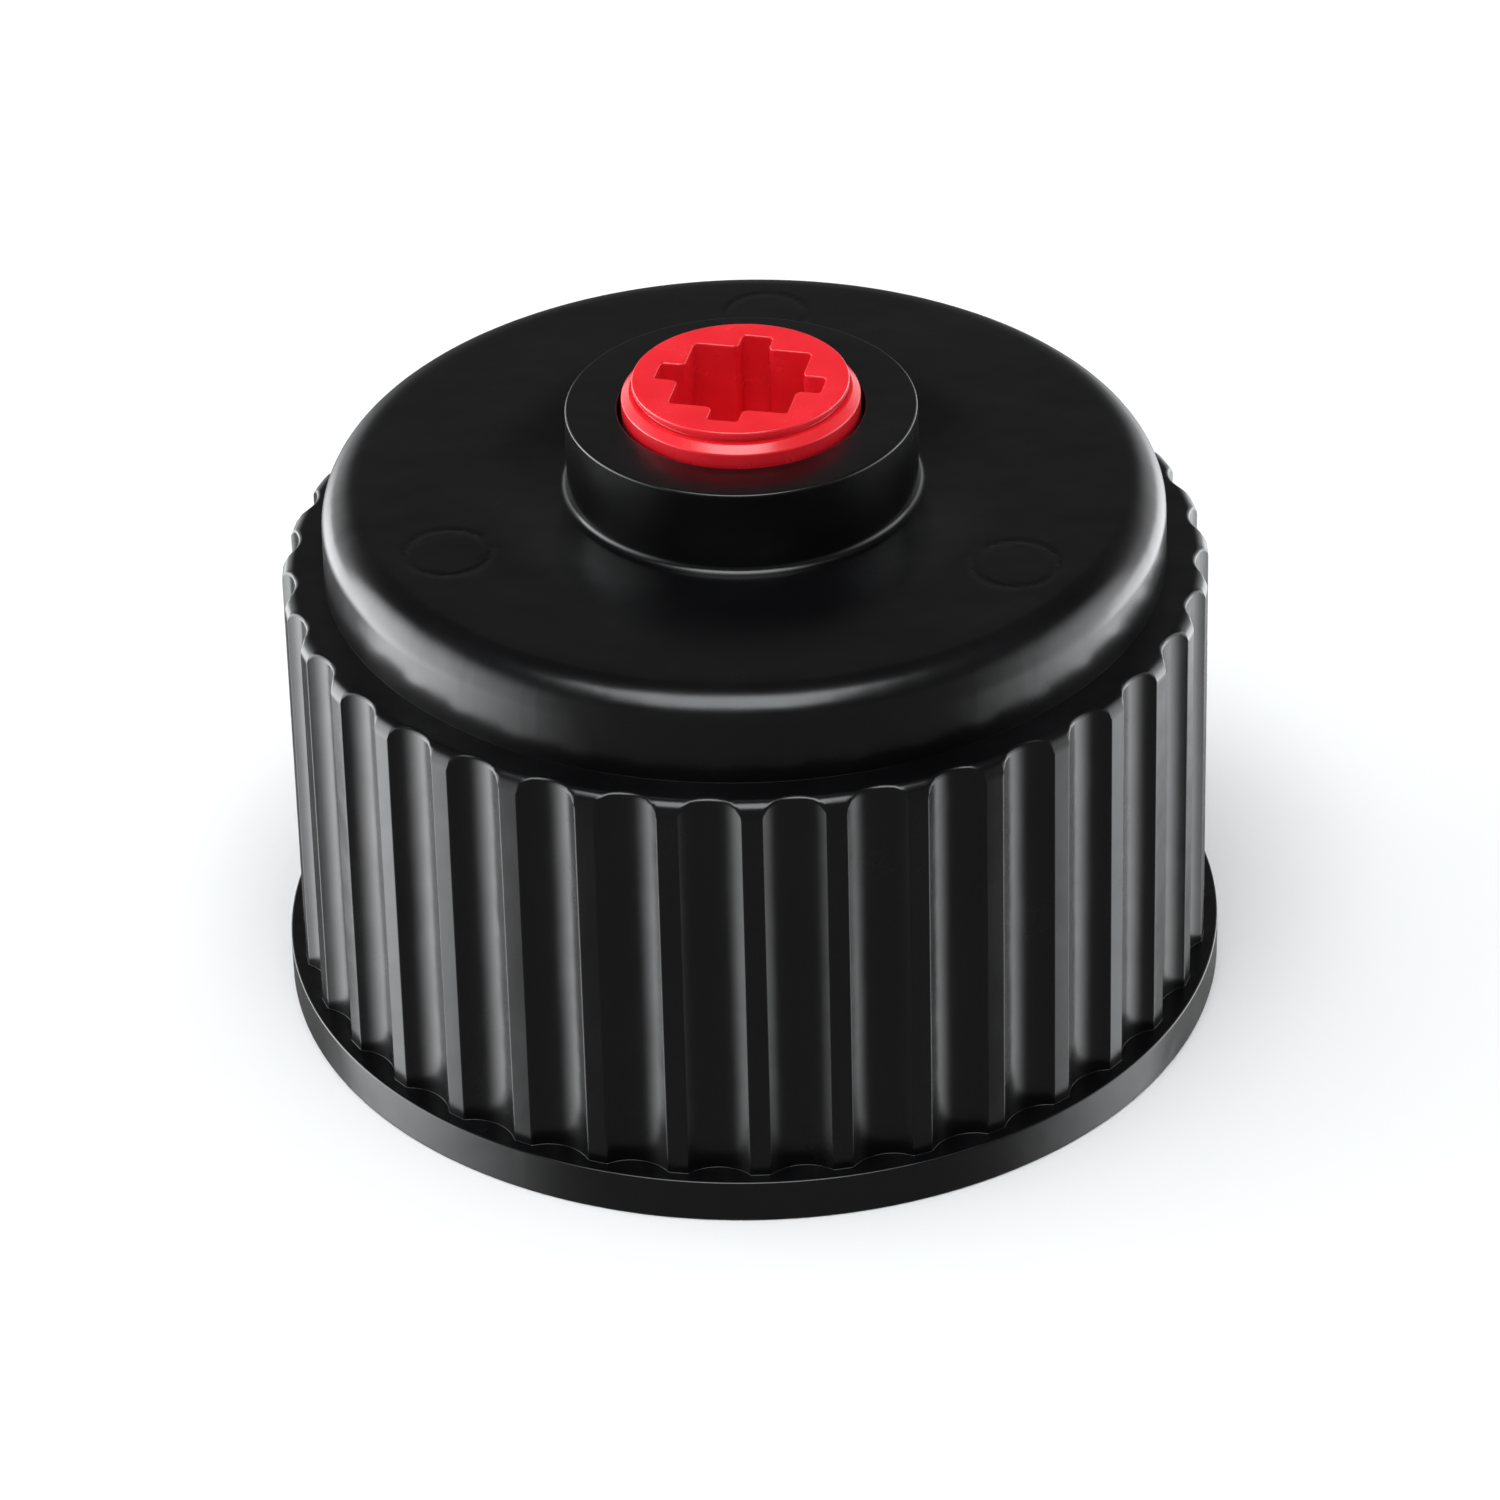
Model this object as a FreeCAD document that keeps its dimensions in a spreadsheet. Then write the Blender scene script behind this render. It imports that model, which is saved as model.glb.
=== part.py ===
import FreeCAD, Part
import math
import os
import re
import Sketcher

# Wide-mouth jug cap with a screw plug in its central port, all sizes in millimetres.
# The axis of the cap is Z, the origin is the centre of the rim that the cap stands on, and
# one ridge of the grip points along -Y.

SHEET = "Dimensions"

DIMENSIONS = [
    # rim flange
    ("flange_radius", 45.0, "outside of the flange at the mouth"),
    ("flange_height", 4.3, "top of the flange"),
    ("flange_chamfer", 0.2, "broken edges of the flange"),
    # fluted grip
    ("grip_radius", 43.75, "ridge crests where the grip meets the flange"),
    ("grip_draft", 0.25, "how far the crests lean in up to the ledge"),
    ("ledge_height", 44.7, "flat step between grip and dome"),
    ("shoulder_width", 1.4, "how far the ledge's steep shoulder comes in"),
    ("shoulder_drop", 1.7, "how far it comes down"),
    ("shoulder_foot", 1.6, "rounding where the shoulder meets the ridges"),
    ("shoulder_edge", 0.9, "rounding where it meets the ledge"),
    ("flute_count", 36.0, "flutes round the grip"),
    ("flute_centre", 46.65, "distance of a flute's arc centre from the axis"),
    ("flute_arc", 4.15, "radius of a flute's hollow"),
    ("flute_edge", 0.3, "rounding between a flute and its ridges"),
    # dome, top plate and boss
    ("dome_radius", 39.5, "upright wall of the dome"),
    ("top_height", 53.0, "outer face of the top plate"),
    ("dome_shoulder", 3.6, "rounding between dome wall and top plate"),
    ("dish_radius", 25.0, "where the top plate starts to sink towards the boss"),
    ("dish_depth", 0.75, "how far it sinks down to the boss"),
    ("boss_radius", 16.4, "outside of the boss"),
    ("boss_height", 60.45, "top face of the boss"),
    ("boss_root", 0.7, "rounding at the foot of the boss"),
    ("boss_edge", 0.25, "rounding at the top of the boss"),
    # hollow inside
    ("skirt_bore", 39.4, "inside of the skirt, and root of the neck thread"),
    ("mouth_chamfer", 1.0, "lead-in at the mouth"),
    ("step_height", 41.9, "inner step below the ledge"),
    ("dome_bore", 37.0, "inside of the dome"),
    ("plate_underside", 50.5, "inner face of the top plate"),
    ("bead_height", 47.4, "lower edge of the bead that holds the gasket in"),
    ("bead_rise", 0.5, "how far the bead stands in from the wall"),
    # neck thread
    ("neck_pitch", 6.0, "pitch of the neck thread"),
    ("neck_turns", 2.5, "turns of the neck thread"),
    ("neck_start", 10.0, "lower edge of the thread's first end"),
    ("neck_crest", 37.7, "crest radius of the neck thread"),
    ("neck_base_width", 3.4, "width of the thread where it leaves the wall"),
    ("neck_crest_width", 1.7, "width of the thread past its crest"),
    ("neck_root_depth", 0.5, "how far the thread's section reaches into the wall"),
    ("neck_trim", 0.4, "how far the section passes the crest before it is trimmed"),
    ("trim_sectors", 8.0, "sectors in which the crest is trimmed to a cylinder"),
    # port in the boss
    ("port_bore", 9.55, "crest radius of the port thread"),
    ("port_root", 10.55, "root radius of the port thread"),
    ("port_recess", 11.5, "recess that takes the plug's flange"),
    ("seat_height", 57.9, "seat of the plug gasket"),
    ("port_pitch", 1.814, "pitch of the port thread"),
    ("port_turns", 5.5, "turns cut for the port thread"),
    ("port_start", 49.3, "centre of the groove's first end"),
    ("groove_root_width", 0.54, "width of the port groove at its root"),
    ("groove_mouth_width", 1.58, "width of the port groove at its crest"),
    # ejector marks on the top plate
    ("mark_radius", 3.95, "radius of an ejector mark"),
    ("mark_ring", 30.0, "distance of the marks from the axis"),
    ("mark_angle", 85.0, "direction of the first mark from +X"),
    ("mark_depth", 0.08, "depth of a mark"),
    ("mark_count", 3.0, "ejector marks on the plate"),
    # neck gasket
    ("gasket_outer", 36.9, "outside of the neck gasket"),
    ("gasket_inner", 30.5, "inside of the neck gasket"),
    ("gasket_thickness", 2.0, "thickness of the neck gasket"),
    ("gasket_chamfer", 0.5, "chamfer that the bead catches under the gasket's outer edge"),
    # plug
    ("plug_bottom", 49.5, "lower end of the plug"),
    ("plug_shank", 9.3, "plain radius of the shank"),
    ("plug_lead", 0.6, "chamfer at the lower end of the shank"),
    ("plug_crest", 10.3, "crest radius of the plug's thread"),
    ("plug_turns", 3.25, "turns of the plug's thread"),
    ("ridge_root_width", 1.39, "width of the plug's thread at the shank"),
    ("ridge_crest_width", 0.35, "width of the plug's thread at its crest"),
    ("ridge_depth_in", 0.3, "how far the thread's section reaches into the shank"),
    ("collar_radius", 11.1, "outside of the plug's flange"),
    ("collar_underside", 59.7, "underside of the plug's flange"),
    ("collar_height", 61.55, "top of the flange's upright side"),
    ("bevel_radius", 10.35, "inner end of the flange's bevel"),
    ("bevel_height", 62.2, "upper end of the flange's bevel"),
    ("neck_groove", 9.7, "radius between the flange and the top disc"),
    ("disc_radius", 10.1, "outside of the top disc"),
    ("disc_underside", 62.65, "underside of the top disc"),
    ("plug_top", 63.3, "top face of the plug"),
    ("disc_edge", 0.15, "broken edge of the top disc"),
    # drive socket in the plug
    ("socket_square", 11.1, "side of the square drive"),
    ("socket_angle", 77.0, "direction of a slot from +X"),
    ("slot_length", 15.6, "slots, end to end across the axis"),
    ("slot_width", 2.8, "width of the slots"),
    ("socket_floor", 52.0, "floor of the socket"),
    ("socket_rounding", 0.7, "rounding where a slot leaves the square"),
    # plug gasket
    ("ring_radius", 10.2, "radius of the plug gasket to the middle of its section"),
    ("ring_section", 0.85, "half the thickness of the plug gasket"),
]

VALUE = {alias: value for alias, value, meaning in DIMENSIONS}

# places on a sketch edge, and the sketch's own origin, as the sketcher numbers them
START, END, CENTRE = 1, 2, 3
ORIGIN = (-1, 1)

# how close an edge has to be to the size it is looked up by
NEAR = 0.01


def make_sheet(doc):
    """The driving dimensions: name, value and meaning in one row each."""
    sheet = doc.addObject("Spreadsheet::Sheet", SHEET)
    for row, (alias, value, meaning) in enumerate(DIMENSIONS, start=1):
        sheet.set(f"A{row}", alias)
        sheet.set(f"B{row}", str(value))
        sheet.set(f"C{row}", meaning)
        sheet.setAlias(f"B{row}", alias)
    doc.recompute()


# ---------------------------------------------------------------- helpers

def cells(expression):
    """The expression with each dimension's name pointing at its cell."""
    return re.sub(r"[a-z]\w*", lambda m: f"{SHEET}.{m[0]}" if m[0] in VALUE else m[0], expression)


def bind(thing, prop, expression):
    """Bind one property of an object to an expression of the sheet's dimensions."""
    thing.setExpression(prop, cells(expression))


def origin_feature(body, role):
    """A plane or axis of the body's own origin."""
    return next(feature for feature in body.Origin.OriginFeatures if feature.Role == role)


def new_sketch(body, name, plane="XZ_Plane"):
    """A sketch on one of the body's own origin planes."""
    sketch = body.newObject("Sketcher::SketchObject", name)
    sketch.AttachmentSupport = [(origin_feature(body, plane), "")]
    sketch.MapMode = "FlatFace"
    return sketch


def flat_sketch(body, name, height, angle):
    """A sketch on the XY plane, lifted to a height and turned about Z by an angle in degrees."""
    sketch = new_sketch(body, name, "XY_Plane")
    bind(sketch, "AttachmentOffset.Base.z", height)
    bind(sketch, "AttachmentOffset.Rotation.Angle", f"({angle}) * 1 deg")
    return sketch


def dimension(sketch, kind, places, start, expression):
    """A dimension of the sketch, from a starting value, bound to an expression."""
    index = sketch.addConstraint(Sketcher.Constraint(kind, *places, start))
    name = f"size_{index}"
    sketch.renameConstraint(index, name)
    bind(sketch, f"Constraints.{name}", expression)


def polygon(sketch, points):
    """A closed outline of straight lines through points given as pairs of expressions.

    It starts as a regular polygon, and its constraints then move each corner into place.
    """
    step = 2 * math.pi / len(points)
    corners = [FreeCAD.Vector(math.cos(i * step), math.sin(i * step), 0) for i in range(len(points))]
    for index, corner in enumerate(corners):
        sketch.addGeometry(Part.LineSegment(corner, corners[(index + 1) % len(corners)]))
    for index, (across, up) in enumerate(points):
        previous = (index - 1) % len(points)
        sketch.addConstraint(Sketcher.Constraint("Coincident", previous, END, index, START))
        dimension(sketch, "DistanceX", (*ORIGIN, index, START), 1.0, across)
        dimension(sketch, "DistanceY", (*ORIGIN, index, START), 1.0, up)


def box_outline(sketch, length, width):
    """A rectangle centred on the sketch's origin."""
    polygon(sketch, [
        (f"-{length} / 2", f"-{width} / 2"),
        (f"{length} / 2", f"-{width} / 2"),
        (f"{length} / 2", f"{width} / 2"),
        (f"-{length} / 2", f"{width} / 2"),
    ])


def turned(body, name, sketch):
    """The sketch carried once round Z."""
    feature = body.newObject("PartDesign::Revolution", name)
    feature.Profile = sketch
    feature.ReferenceAxis = (sketch, ["V_Axis"])
    feature.Angle = 360
    body.Document.recompute()


def helix(body, name, sketch, kind, pitch, turns):
    """A right-hand thread: the sketch's section carried round Z and upwards."""
    feature = body.newObject(kind, name)
    feature.Profile = sketch
    feature.ReferenceAxis = (sketch, ["V_Axis"])
    feature.Mode = "pitch-turns-angle"
    feature.Refine = False
    bind(feature, "Pitch", pitch)
    bind(feature, "Turns", turns)
    body.Document.recompute()


def pocket(body, name, sketch, depth):
    """A cut below the sketch, which has to take material away."""
    before = body.Shape.Volume
    feature = body.newObject("PartDesign::Pocket", name)
    feature.Profile = sketch
    feature.Refine = False
    bind(feature, "Length", depth)
    body.Document.recompute()
    if feature.Shape.Volume >= before:
        raise RuntimeError(f"{name} cuts nothing")
    return feature


def polar(body, name, feature, count):
    """Repeat a feature evenly round the Z axis."""
    pattern = body.newObject("PartDesign::PolarPattern", name)
    pattern.Originals = [feature]
    pattern.Axis = (origin_feature(body, "Z_Axis"), [""])
    pattern.Angle = 360
    pattern.Refine = False
    bind(pattern, "Occurrences", count)
    body.Tip = pattern
    body.Document.recompute()


def rim_edges(shape, radius, height):
    """Names of the circular edges round Z with this radius at this height."""
    names = []
    for index, edge in enumerate(shape.Edges, start=1):
        if edge.Curve.TypeId != "Part::GeomCircle":
            continue
        if abs(edge.Curve.Radius - radius) < NEAR and abs(edge.Curve.Center.z - height) < NEAR:
            names.append(f"Edge{index}")
    return names


def upright_edges(shape, distance, low, high):
    """Names of the straight upright edges between two heights at this distance from Z."""
    names = []
    for index, edge in enumerate(shape.Edges, start=1):
        box = edge.BoundBox
        if abs(box.ZMin - low) > NEAR or abs(box.ZMax - high) > NEAR:
            continue
        if abs(math.hypot(box.Center.x, box.Center.y) - distance) < NEAR:
            names.append(f"Edge{index}")
    return names


def dress(body, name, kind, prop, size, edges):
    """A fillet or chamfer of the given size on named edges of the body's last feature."""
    base = body.Tip
    feature = body.newObject(kind, name)
    feature.Base = (base, edges)
    bind(feature, prop, size)
    body.Document.recompute()


# ---------------------------------------------------------------- cap shell

def cap_outline(body):
    """Half section of the moulding: outside from the mouth up, inside back down."""
    sketch = new_sketch(body, "CapOutline")
    polygon(sketch, [
        ("skirt_bore + mouth_chamfer", "0"),
        ("flange_radius", "0"),
        ("flange_radius", "flange_height"),
        ("grip_radius", "flange_height"),
        ("grip_radius - grip_draft", "ledge_height - shoulder_drop"),
        ("grip_radius - grip_draft - shoulder_width", "ledge_height"),
        ("dome_radius", "ledge_height"),
        ("dome_radius", "top_height"),
        ("dish_radius", "top_height"),
        ("boss_radius", "top_height - dish_depth"),
        ("boss_radius", "boss_height"),
        ("port_recess", "boss_height"),
        ("port_recess", "seat_height"),
        ("port_bore", "seat_height"),
        ("port_bore", "plate_underside"),
        ("dome_bore", "plate_underside"),
        ("dome_bore", "bead_height + 2 * bead_rise"),
        ("dome_bore - bead_rise", "bead_height + 1.5 * bead_rise"),
        ("dome_bore - bead_rise", "bead_height + bead_rise"),
        ("dome_bore", "bead_height"),
        ("dome_bore", "step_height"),
        ("skirt_bore", "step_height"),
        ("skirt_bore", "mouth_chamfer"),
    ])
    turned(body, "CapTurned", sketch)


def cap_edges(body):
    """Roundings of the dome, boss and ledge, and the flange's broken edges."""
    crest, ledge = VALUE["grip_radius"] - VALUE["grip_draft"], VALUE["ledge_height"]
    fillets = [
        ("DomeShoulder", "dome_shoulder", VALUE["dome_radius"], VALUE["top_height"]),
        ("BossRoot", "boss_root", VALUE["boss_radius"], VALUE["top_height"] - VALUE["dish_depth"]),
        ("BossEdge", "boss_edge", VALUE["boss_radius"], VALUE["boss_height"]),
        ("ShoulderFoot", "shoulder_foot", crest, ledge - VALUE["shoulder_drop"]),
        ("ShoulderEdge", "shoulder_edge", crest - VALUE["shoulder_width"], ledge),
    ]
    for name, size, radius, height in fillets:
        dress(body, name, "PartDesign::Fillet", "Radius", size, rim_edges(body.Shape, radius, height))
    flange = rim_edges(body.Shape, VALUE["flange_radius"], 0)
    flange += rim_edges(body.Shape, VALUE["flange_radius"], VALUE["flange_height"])
    dress(body, "FlangeEdges", "PartDesign::Chamfer", "Size", "flange_chamfer", flange)


def flute_section(body):
    """One flute from above: a hollow arc that rolls over into the ridge crest on each side."""
    sketch = flat_sketch(body, "FluteSection", "flange_height", "180 / flute_count")
    crest, centre = VALUE["grip_radius"], VALUE["flute_centre"]
    arc, edge = VALUE["flute_arc"], VALUE["flute_edge"]
    outside = centre + arc

    # a rounding's centre lies one edge radius inside the crest circle and outside the hollow
    reach, span = crest - edge, arc + edge
    roll_x = (reach ** 2 - span ** 2 + centre ** 2) / (2 * centre)
    roll_y = math.sqrt(reach ** 2 - roll_x ** 2)
    lean = math.atan2(roll_y, roll_x)
    turn = math.atan2(roll_y, centre - roll_x)
    crest_x, crest_y = crest * math.cos(lean), crest * math.sin(lean)

    def arc_of(across, up, radius, first, last):
        circle = Part.Circle(FreeCAD.Vector(across, up, 0), FreeCAD.Vector(0, 0, 1), radius)
        return Part.ArcOfCircle(circle, first, last)

    def line(x1, y1, x2, y2):
        return Part.LineSegment(FreeCAD.Vector(x1, y1, 0), FreeCAD.Vector(x2, y2, 0))

    hollow = sketch.addGeometry(arc_of(centre, 0, arc, math.pi - turn, math.pi + turn))
    upper = sketch.addGeometry(arc_of(roll_x, roll_y, edge, -turn, lean))
    lower = sketch.addGeometry(arc_of(roll_x, -roll_y, edge, -lean, turn))
    top = sketch.addGeometry(line(crest_x, crest_y, outside, crest_y))
    side = sketch.addGeometry(line(outside, crest_y, outside, -crest_y))
    foot = sketch.addGeometry(line(outside, -crest_y, crest_x, -crest_y))
    crests = sketch.addGeometry(Part.Circle(FreeCAD.Vector(), FreeCAD.Vector(0, 0, 1), crest), True)

    for rule in [
        ("Coincident", crests, CENTRE, *ORIGIN),
        ("PointOnObject", hollow, CENTRE, -1),
        ("Tangent", hollow, START, upper, START),
        ("Tangent", hollow, END, lower, END),
        ("Tangent", upper, END, crests),
        ("Tangent", lower, START, crests),
        ("Equal", upper, lower),
        ("Coincident", upper, END, top, START),
        ("Coincident", top, END, side, START),
        ("Coincident", side, END, foot, START),
        ("Coincident", foot, END, lower, START),
        ("Horizontal", top),
        ("Horizontal", foot),
        ("Vertical", side),
    ]:
        sketch.addConstraint(Sketcher.Constraint(*rule))
    dimension(sketch, "Radius", (crests,), crest, "grip_radius")
    dimension(sketch, "Radius", (hollow,), arc, "flute_arc")
    dimension(sketch, "Radius", (upper,), edge, "flute_edge")
    dimension(sketch, "DistanceX", (*ORIGIN, hollow, CENTRE), centre, "flute_centre")
    dimension(sketch, "DistanceX", (*ORIGIN, side, START), outside, "flute_centre + flute_arc")
    return sketch


def cut_flutes(body):
    """The grip's flutes, cut upwards from the flange and leaning in with the ridges."""
    sketch = flute_section(body)
    half_step = math.pi / VALUE["flute_count"]
    lean = VALUE["grip_draft"] / (VALUE["ledge_height"] - VALUE["flange_height"])
    before = body.Shape.Volume
    flute = body.newObject("PartDesign::Pocket", "Flute")
    flute.Profile = sketch
    flute.UseCustomVector = True
    flute.Direction = FreeCAD.Vector(-lean * math.cos(half_step), -lean * math.sin(half_step), 1)
    bind(flute, "Length", "ledge_height - flange_height + 1")
    body.Document.recompute()
    if flute.Shape.Volume >= before:
        raise RuntimeError("the flute cuts nothing")
    polar(body, "Flutes", flute, "flute_count")


def neck_thread(body):
    """The thread for the jug's neck, its crest trimmed sector by sector to a true cylinder."""
    middle = "(neck_start + neck_base_width / 2)"
    tip = "neck_crest - neck_trim"
    root = "skirt_bore + neck_root_depth"
    section = new_sketch(body, "NeckThreadSection")
    polygon(section, [
        (tip, f"{middle} - neck_crest_width / 2"),
        (root, f"{middle} - neck_base_width / 2"),
        (root, f"{middle} + neck_base_width / 2"),
        (tip, f"{middle} + neck_crest_width / 2"),
    ])
    helix(body, "NeckThread", section, "PartDesign::AdditiveHelix", "neck_pitch", "neck_turns")
    trim = new_sketch(body, "CrestTrimSection")
    polygon(trim, [
        ("neck_crest - 2 * neck_trim", "0"),
        ("neck_crest", "0"),
        ("neck_crest", "step_height"),
        ("neck_crest - 2 * neck_trim", "step_height"),
    ])
    groove = body.newObject("PartDesign::Groove", "CrestTrim")
    groove.Profile = trim
    groove.ReferenceAxis = (trim, ["V_Axis"])
    groove.Refine = False
    bind(groove, "Angle", "360 / trim_sectors")
    body.Document.recompute()
    polar(body, "CrestTrims", groove, "trim_sectors")


def port_thread(body):
    """The thread in the boss that the plug screws into, cut from below the top plate up."""
    inner = "2 * port_bore - port_root"
    inner_half = "(groove_mouth_width - groove_root_width / 2)"
    section = new_sketch(body, "PortThreadSection")
    polygon(section, [
        (inner, f"port_start - {inner_half}"),
        ("port_root", "port_start - groove_root_width / 2"),
        ("port_root", "port_start + groove_root_width / 2"),
        (inner, f"port_start + {inner_half}"),
    ])
    helix(body, "PortThread", section, "PartDesign::SubtractiveHelix", "port_pitch", "port_turns")


def ejector_marks(body):
    """Faint round marks that the mould's ejectors leave on the top plate."""
    sketch = flat_sketch(body, "MarkSection", "top_height", "mark_angle")
    centre = FreeCAD.Vector(VALUE["mark_ring"], 0, 0)
    mark = sketch.addGeometry(Part.Circle(centre, FreeCAD.Vector(0, 0, 1), VALUE["mark_radius"]))
    sketch.addConstraint(Sketcher.Constraint("PointOnObject", mark, CENTRE, -1))
    dimension(sketch, "Radius", (mark,), VALUE["mark_radius"], "mark_radius")
    dimension(sketch, "DistanceX", (*ORIGIN, mark, CENTRE), VALUE["mark_ring"], "mark_ring")
    polar(body, "Marks", pocket(body, "Mark", sketch, "mark_depth"), "mark_count")


def make_cap_shell(doc):
    """The black moulding: flange, fluted grip, ledge, dome, boss and both threads."""
    body = doc.addObject("PartDesign::Body", "CapShell")
    body.Label = "cap_shell"
    cap_outline(body)
    cap_edges(body)
    cut_flutes(body)
    neck_thread(body)
    port_thread(body)
    ejector_marks(body)
    return body


# ---------------------------------------------------------------- neck gasket

def make_neck_gasket(doc):
    """A flat ring against the underside of the top plate, chamfered where the bead holds it."""
    body = doc.addObject("PartDesign::Body", "NeckGasket")
    body.Label = "neck_gasket"
    underside = "plate_underside - gasket_thickness"
    sketch = new_sketch(body, "GasketOutline")
    polygon(sketch, [
        ("gasket_inner", underside),
        ("gasket_outer - gasket_chamfer", underside),
        ("gasket_outer", f"{underside} + gasket_chamfer"),
        ("gasket_outer", "plate_underside"),
        ("gasket_inner", "plate_underside"),
    ])
    turned(body, "GasketTurned", sketch)
    return body


# ---------------------------------------------------------------- port plug

def plug_outline(body):
    """Half section of the plug: chamfered shank, flange with a bevel, groove and top disc."""
    sketch = new_sketch(body, "PlugOutline")
    polygon(sketch, [
        ("0", "plug_bottom"),
        ("plug_shank - plug_lead", "plug_bottom"),
        ("plug_shank", "plug_bottom + plug_lead"),
        ("plug_shank", "collar_underside"),
        ("collar_radius", "collar_underside"),
        ("collar_radius", "collar_height"),
        ("bevel_radius", "bevel_height"),
        ("neck_groove", "bevel_height"),
        ("neck_groove", "disc_underside"),
        ("disc_radius", "disc_underside"),
        ("disc_radius", "plug_top - disc_edge"),
        ("disc_radius - disc_edge", "plug_top"),
        ("0", "plug_top"),
    ])
    turned(body, "PlugTurned", sketch)


def plug_thread(body):
    """The plug's thread, in mesh with the port's: one pitch above the start of its groove."""
    middle = "(port_start + port_pitch)"
    root = "plug_shank - ridge_depth_in"
    section = new_sketch(body, "PlugThreadSection")
    polygon(section, [
        (root, f"{middle} - ridge_root_width / 2"),
        ("plug_shank", f"{middle} - ridge_root_width / 2"),
        ("plug_crest", f"{middle} - ridge_crest_width / 2"),
        ("plug_crest", f"{middle} + ridge_crest_width / 2"),
        ("plug_shank", f"{middle} + ridge_root_width / 2"),
        (root, f"{middle} + ridge_root_width / 2"),
    ])
    helix(body, "PlugThread", section, "PartDesign::AdditiveHelix", "port_pitch", "plug_turns")


def drive_socket(body):
    """A blind socket: a square with a slot across each pair of its sides."""
    depth = "plug_top - socket_floor"
    cuts = [
        ("Square", "socket_square", "socket_square", "socket_angle"),
        ("FirstSlot", "slot_length", "slot_width", "socket_angle"),
        ("SecondSlot", "slot_length", "slot_width", "socket_angle + 90"),
    ]
    for name, length, width, angle in cuts:
        sketch = flat_sketch(body, f"{name}Section", "plug_top", angle)
        box_outline(sketch, length, width)
        pocket(body, name, sketch, depth)
    corner = math.hypot(VALUE["socket_square"] / 2, VALUE["slot_width"] / 2)
    edges = upright_edges(body.Shape, corner, VALUE["socket_floor"], VALUE["plug_top"])
    dress(body, "SocketRounding", "PartDesign::Fillet", "Radius", "socket_rounding", edges)


def make_port_plug(doc):
    """The red screw plug that closes the port."""
    body = doc.addObject("PartDesign::Body", "PortPlug")
    body.Label = "port_plug"
    plug_outline(body)
    plug_thread(body)
    drive_socket(body)
    return body


# ---------------------------------------------------------------- plug gasket

def make_plug_gasket(doc):
    """The O-ring round the top of the shank, between the seat and the plug's flange."""
    ring = doc.addObject("Part::Torus", "PlugGasket")
    ring.Label = "plug_gasket"
    bind(ring, "Radius1", "ring_radius")
    bind(ring, "Radius2", "ring_section")
    bind(ring, "Placement.Base.z", "(seat_height + collar_underside) / 2")
    return ring


# ---------------------------------------------------------------- build and export

def check(doc, parts):
    """Stop if any object failed or any sub-part has no sound solid."""
    for thing in doc.Objects:
        if "Invalid" in thing.State or "Error" in thing.State:
            raise RuntimeError(f"{thing.Name} failed: {thing.State}")
    for part in parts:
        if part.Shape.isNull() or not part.Shape.isValid() or not part.Shape.Solids:
            raise RuntimeError(f"{part.Label} has no valid solid")


def main():
    doc = FreeCAD.newDocument("JugCap")
    make_sheet(doc)
    parts = [make(doc) for make in (make_cap_shell, make_neck_gasket, make_port_plug, make_plug_gasket)]
    doc.recompute()
    check(doc, parts)
    os.makedirs("parts", exist_ok=True)
    for part in parts:
        part.Shape.exportStep(f"parts/{part.Label}.step")
        print(part.Label, len(part.Shape.Solids), "solid", round(part.Shape.Volume, 1), "mm3")


main()
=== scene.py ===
import math

import bpy
import numpy as np
from mathutils import Matrix, Vector


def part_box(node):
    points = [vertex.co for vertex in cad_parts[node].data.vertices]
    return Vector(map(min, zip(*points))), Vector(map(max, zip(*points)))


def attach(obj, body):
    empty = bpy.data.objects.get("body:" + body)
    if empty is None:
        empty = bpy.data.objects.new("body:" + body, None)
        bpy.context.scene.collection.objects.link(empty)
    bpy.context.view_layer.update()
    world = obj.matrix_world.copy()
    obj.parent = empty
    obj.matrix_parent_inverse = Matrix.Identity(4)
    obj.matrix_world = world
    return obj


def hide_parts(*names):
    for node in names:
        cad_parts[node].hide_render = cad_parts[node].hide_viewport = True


# A black moulded jug cap with a red screw plug. The frame is in metres: Z is the cap's axis,
# the cap stands on z = 0, and one ridge of the grip points to -Y. Outlines are written in
# millimetres as (radius, height) and scaled when the mesh is made.

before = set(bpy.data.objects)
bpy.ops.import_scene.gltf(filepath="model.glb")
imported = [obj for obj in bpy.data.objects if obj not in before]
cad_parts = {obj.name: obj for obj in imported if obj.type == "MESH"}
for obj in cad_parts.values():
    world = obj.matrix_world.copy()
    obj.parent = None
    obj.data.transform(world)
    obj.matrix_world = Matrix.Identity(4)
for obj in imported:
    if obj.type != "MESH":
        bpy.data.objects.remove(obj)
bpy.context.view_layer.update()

MM = 0.001
TURN = 2 * math.pi


# ---------------------------------------------------------------- sizes in millimetres

def top_of(node):
    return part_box(node)[1].z / MM


def bottom_of(node):
    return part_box(node)[0].z / MM


def radius_of(node):
    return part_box(node)[1].x / MM


FLANGE_RADIUS = radius_of("cap_shell")
FLANGE_TOP = 4.3
FLANGE_EDGE = 0.2

# a flute is a round hollow of radius FLUTE_ARC about a line FLUTE_CENTRE from the cap's axis,
# with a rolled edge on each side and a tiny chamfer at its foot
FLUTES = 36
CREST_RADIUS = 43.75
CREST_DRAFT = 0.25
FLUTE_CENTRE = 46.65
FLUTE_ARC = 4.15
FLUTE_ROLL = 0.3
FLUTE_FOOT = 0.06

LEDGE_HEIGHT = 44.7
SHOULDER_WIDTH = 1.4
SHOULDER_DROP = 1.7
SHOULDER_ROLL = 0.45

DOME_RADIUS = 39.5
DOME_FOOT = 0.01
DOME_DRAFT = 0.12
DOME_ROLL = 3.6
TOP_PLATE = 53.0
DISH_RADIUS = 23.2
DISH_DEPTH = 0.75
DISH_BEND = 40.0

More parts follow.
